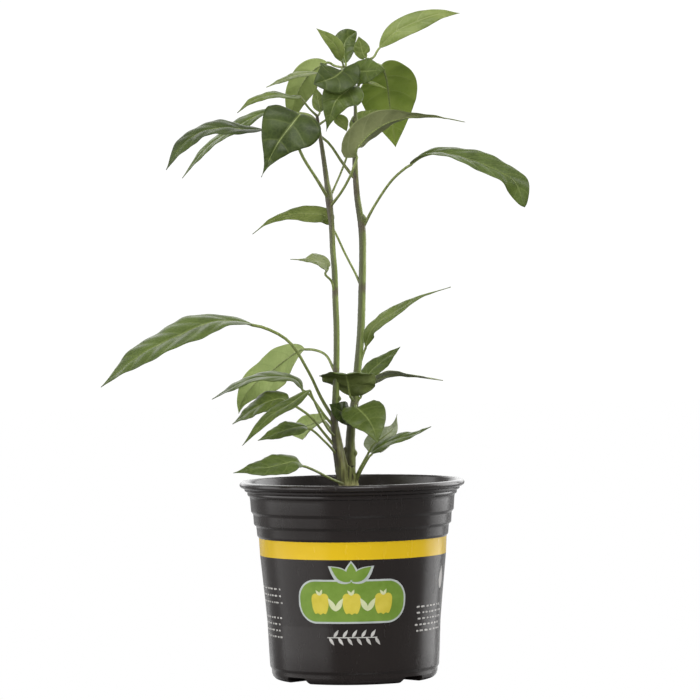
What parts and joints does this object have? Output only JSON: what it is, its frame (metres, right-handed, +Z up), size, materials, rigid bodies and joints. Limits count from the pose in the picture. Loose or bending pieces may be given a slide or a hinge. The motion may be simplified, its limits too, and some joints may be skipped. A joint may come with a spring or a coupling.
{
  "type": "potted bell pepper plant",
  "caption": "Young bell pepper plant with a forked stem and drooping pointed leaves, growing in soil in a round tapered nursery pot.",
  "frame": {"origin": "centre of the pot's flat underside", "axes": "+Z up along the pot's axis, +X to the right seen from the front, +Y away from the front"},
  "size_m": [0.2068, 0.11, 0.3263],
  "materials": {
    "pot_plastic": "satin moulded black-brown plastic, with a printed yellow band and badge",
    "potting_soil": "rough, dark, crumbly peat mix",
    "stem_bark": "smooth green bark, browner at nodes and foot",
    "leaf_green": "waxy dark green above, paler and matte below, sunk veins",
    "leaf_young": "waxy light green, soft young blade"
  },
  "bodies": {
    "root": {"pot": "pot_plastic", "soil": "potting_soil", "stem": "stem_bark", "leaf_low_left_large": "leaf_green", "leaf_low_left_back": "leaf_green", "leaf_low_left_upper": "leaf_green", "leaf_low_left_front": "leaf_green", "leaf_low_left_middle": "leaf_green", "leaf_low_left_small": "leaf_green", "leaf_low_left_pale": "leaf_green", "leaf_collar_left": "leaf_green", "leaf_low_right_pointed": "leaf_green", "leaf_shoot_upright": "leaf_green", "leaf_shoot_right": "leaf_green", "leaf_shoot_front": "leaf_green", "leaf_shoot_front_left": "leaf_green", "leaf_collar_upright": "leaf_green", "leaf_collar_right": "leaf_green", "leaf_mid_right": "leaf_green", "leaf_high_right_large": "leaf_green", "leaf_mid_left": "leaf_green", "leaf_mid_left_small": "leaf_green", "leaf_high_front": "leaf_green", "leaf_high_left_hanging": "leaf_green", "leaf_high_left_front": "leaf_green", "leaf_high_left_back": "leaf_green", "leaf_crown_left": "leaf_green", "leaf_crown_left_narrow": "leaf_green", "leaf_crown_left_pale": "leaf_green", "leaf_crown_dark_left": "leaf_green", "leaf_crown_dark_right": "leaf_green", "leaf_crown_front": "leaf_green", "leaf_crown_slender": "leaf_green", "leaf_crown_right_pale": "leaf_green", "leaf_crown_right_high": "leaf_young", "leaf_tip_left": "leaf_young", "leaf_tip_back": "leaf_young", "leaf_tip_right": "leaf_young", "leaf_axil_left": "leaf_young", "leaf_axil_small": "leaf_young", "leaf_axil_right": "leaf_green"}
  },
  "joints": []
}
